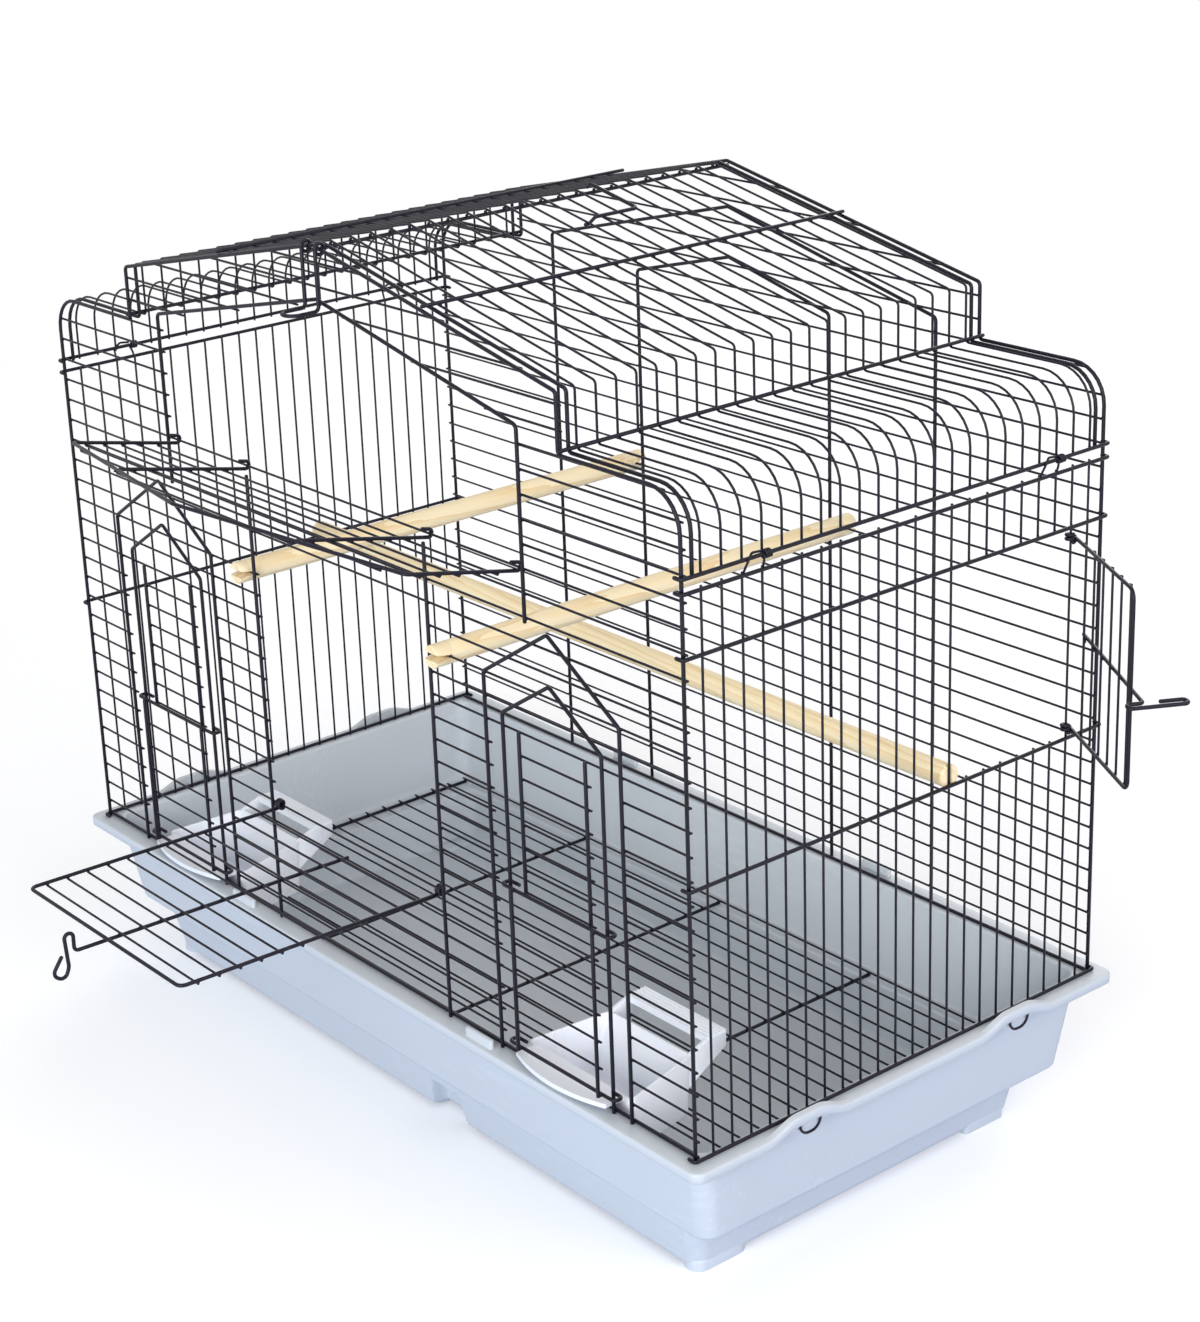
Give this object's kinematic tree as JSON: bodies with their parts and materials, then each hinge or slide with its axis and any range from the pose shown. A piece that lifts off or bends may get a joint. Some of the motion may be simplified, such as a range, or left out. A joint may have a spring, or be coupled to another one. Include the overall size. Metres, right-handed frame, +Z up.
{
  "type": "bird flight cage",
  "caption": "Gabled wire bird cage on a moulded tray, with hinged front and side doors, sliding feeder doors, feed cups, wooden perches and a floor grille.",
  "frame": {"origin": "middle of the tray's plan, on the plane that the four feet stand on", "axes": "+X along the front towards the side-door end, +Y from the front wall to the back wall, +Z up"},
  "size_m": [0.7563, 0.5466, 0.5807],
  "materials": {
    "wire": "satin",
    "tray": "satin",
    "cup": "gloss",
    "perch": "matte"
  },
  "bodies": {
    "cage": {"tray": "tray", "tray_clips": "wire", "grille_long_wires": "wire", "grille_cross_wires": "wire", "left_feeder_cup": "cup", "right_feeder_cup": "cup", "left_perch": "perch", "right_perch": "perch", "long_perch": "perch", "front_outline": "wire", "front_rows": "wire", "front_bottom_bar": "wire", "back_outline": "wire", "back_rows": "wire", "back_bottom_bar": "wire", "back_outer_stiffener": "wire", "back_inner_stiffener": "wire", "left_end_wires": "wire", "left_end_rails": "wire", "right_end_wires": "wire", "right_end_rails": "wire", "roof_wires": "wire", "roof_hoops": "wire", "roof_side_rails": "wire", "roof_riser_rails": "wire", "roof_slope_rails": "wire", "ridge_rail": "wire", "roof_clips": "wire", "upper_opening_frame": "wire", "lower_opening_uprights": "wire", "left_feeder_arch": "wire", "right_feeder_arch": "wire", "left_feeder_guide": "wire", "right_feeder_guide": "wire", "left_feeder_grid": "wire", "right_feeder_grid": "wire"},
    "upper_door": {"upper_door_frame": "wire", "upper_door_bars": "wire", "upper_door_rows": "wire"},
    "lower_door": {"lower_door_frame": "wire", "lower_door_rows": "wire", "lower_door_catch": "wire"},
    "side_door": {"side_door_frame": "wire", "side_door_wires": "wire", "side_door_latch": "wire"},
    "left_slide": {"left_slide_bars": "wire", "left_slide_sides": "wire", "left_slide_rows": "wire"},
    "right_slide": {"right_slide_bars": "wire", "right_slide_sides": "wire", "right_slide_rows": "wire"},
    "ridge_latch": {"ridge_latch": "wire"}
  },
  "joints": [
    {"name": "upper_door_hinge", "type": "hinge", "parent": "cage", "child": "upper_door", "pos_m": [0, -0.16305, 0.4215], "axis": [1, 0, 0], "range_deg": [-77.5, 0]},
    {"name": "lower_door_hinge", "type": "hinge", "parent": "cage", "child": "lower_door", "pos_m": [0, -0.16305, 0.1895], "axis": [1, 0, 0], "range_deg": [-88.8, 0]},
    {"name": "side_door_hinge", "type": "hinge", "parent": "cage", "child": "side_door", "pos_m": [0.32069, 0.13775, 0.338], "axis": [0, 0, 1], "range_deg": [-60, 60]},
    {"name": "left_slide_lift", "type": "slide", "parent": "cage", "child": "left_slide", "axis": [0, 0, 1], "range_m": [0, 0.092]},
    {"name": "right_slide_lift", "type": "slide", "parent": "cage", "child": "right_slide", "axis": [0, 0, 1], "range_m": [0, 0.092]},
    {"name": "ridge_latch_swing", "type": "hinge", "parent": "cage", "child": "ridge_latch", "pos_m": [0, -0.165, 0.57623], "axis": [-1, 0, 0], "range_deg": [0, 65]}
  ]
}
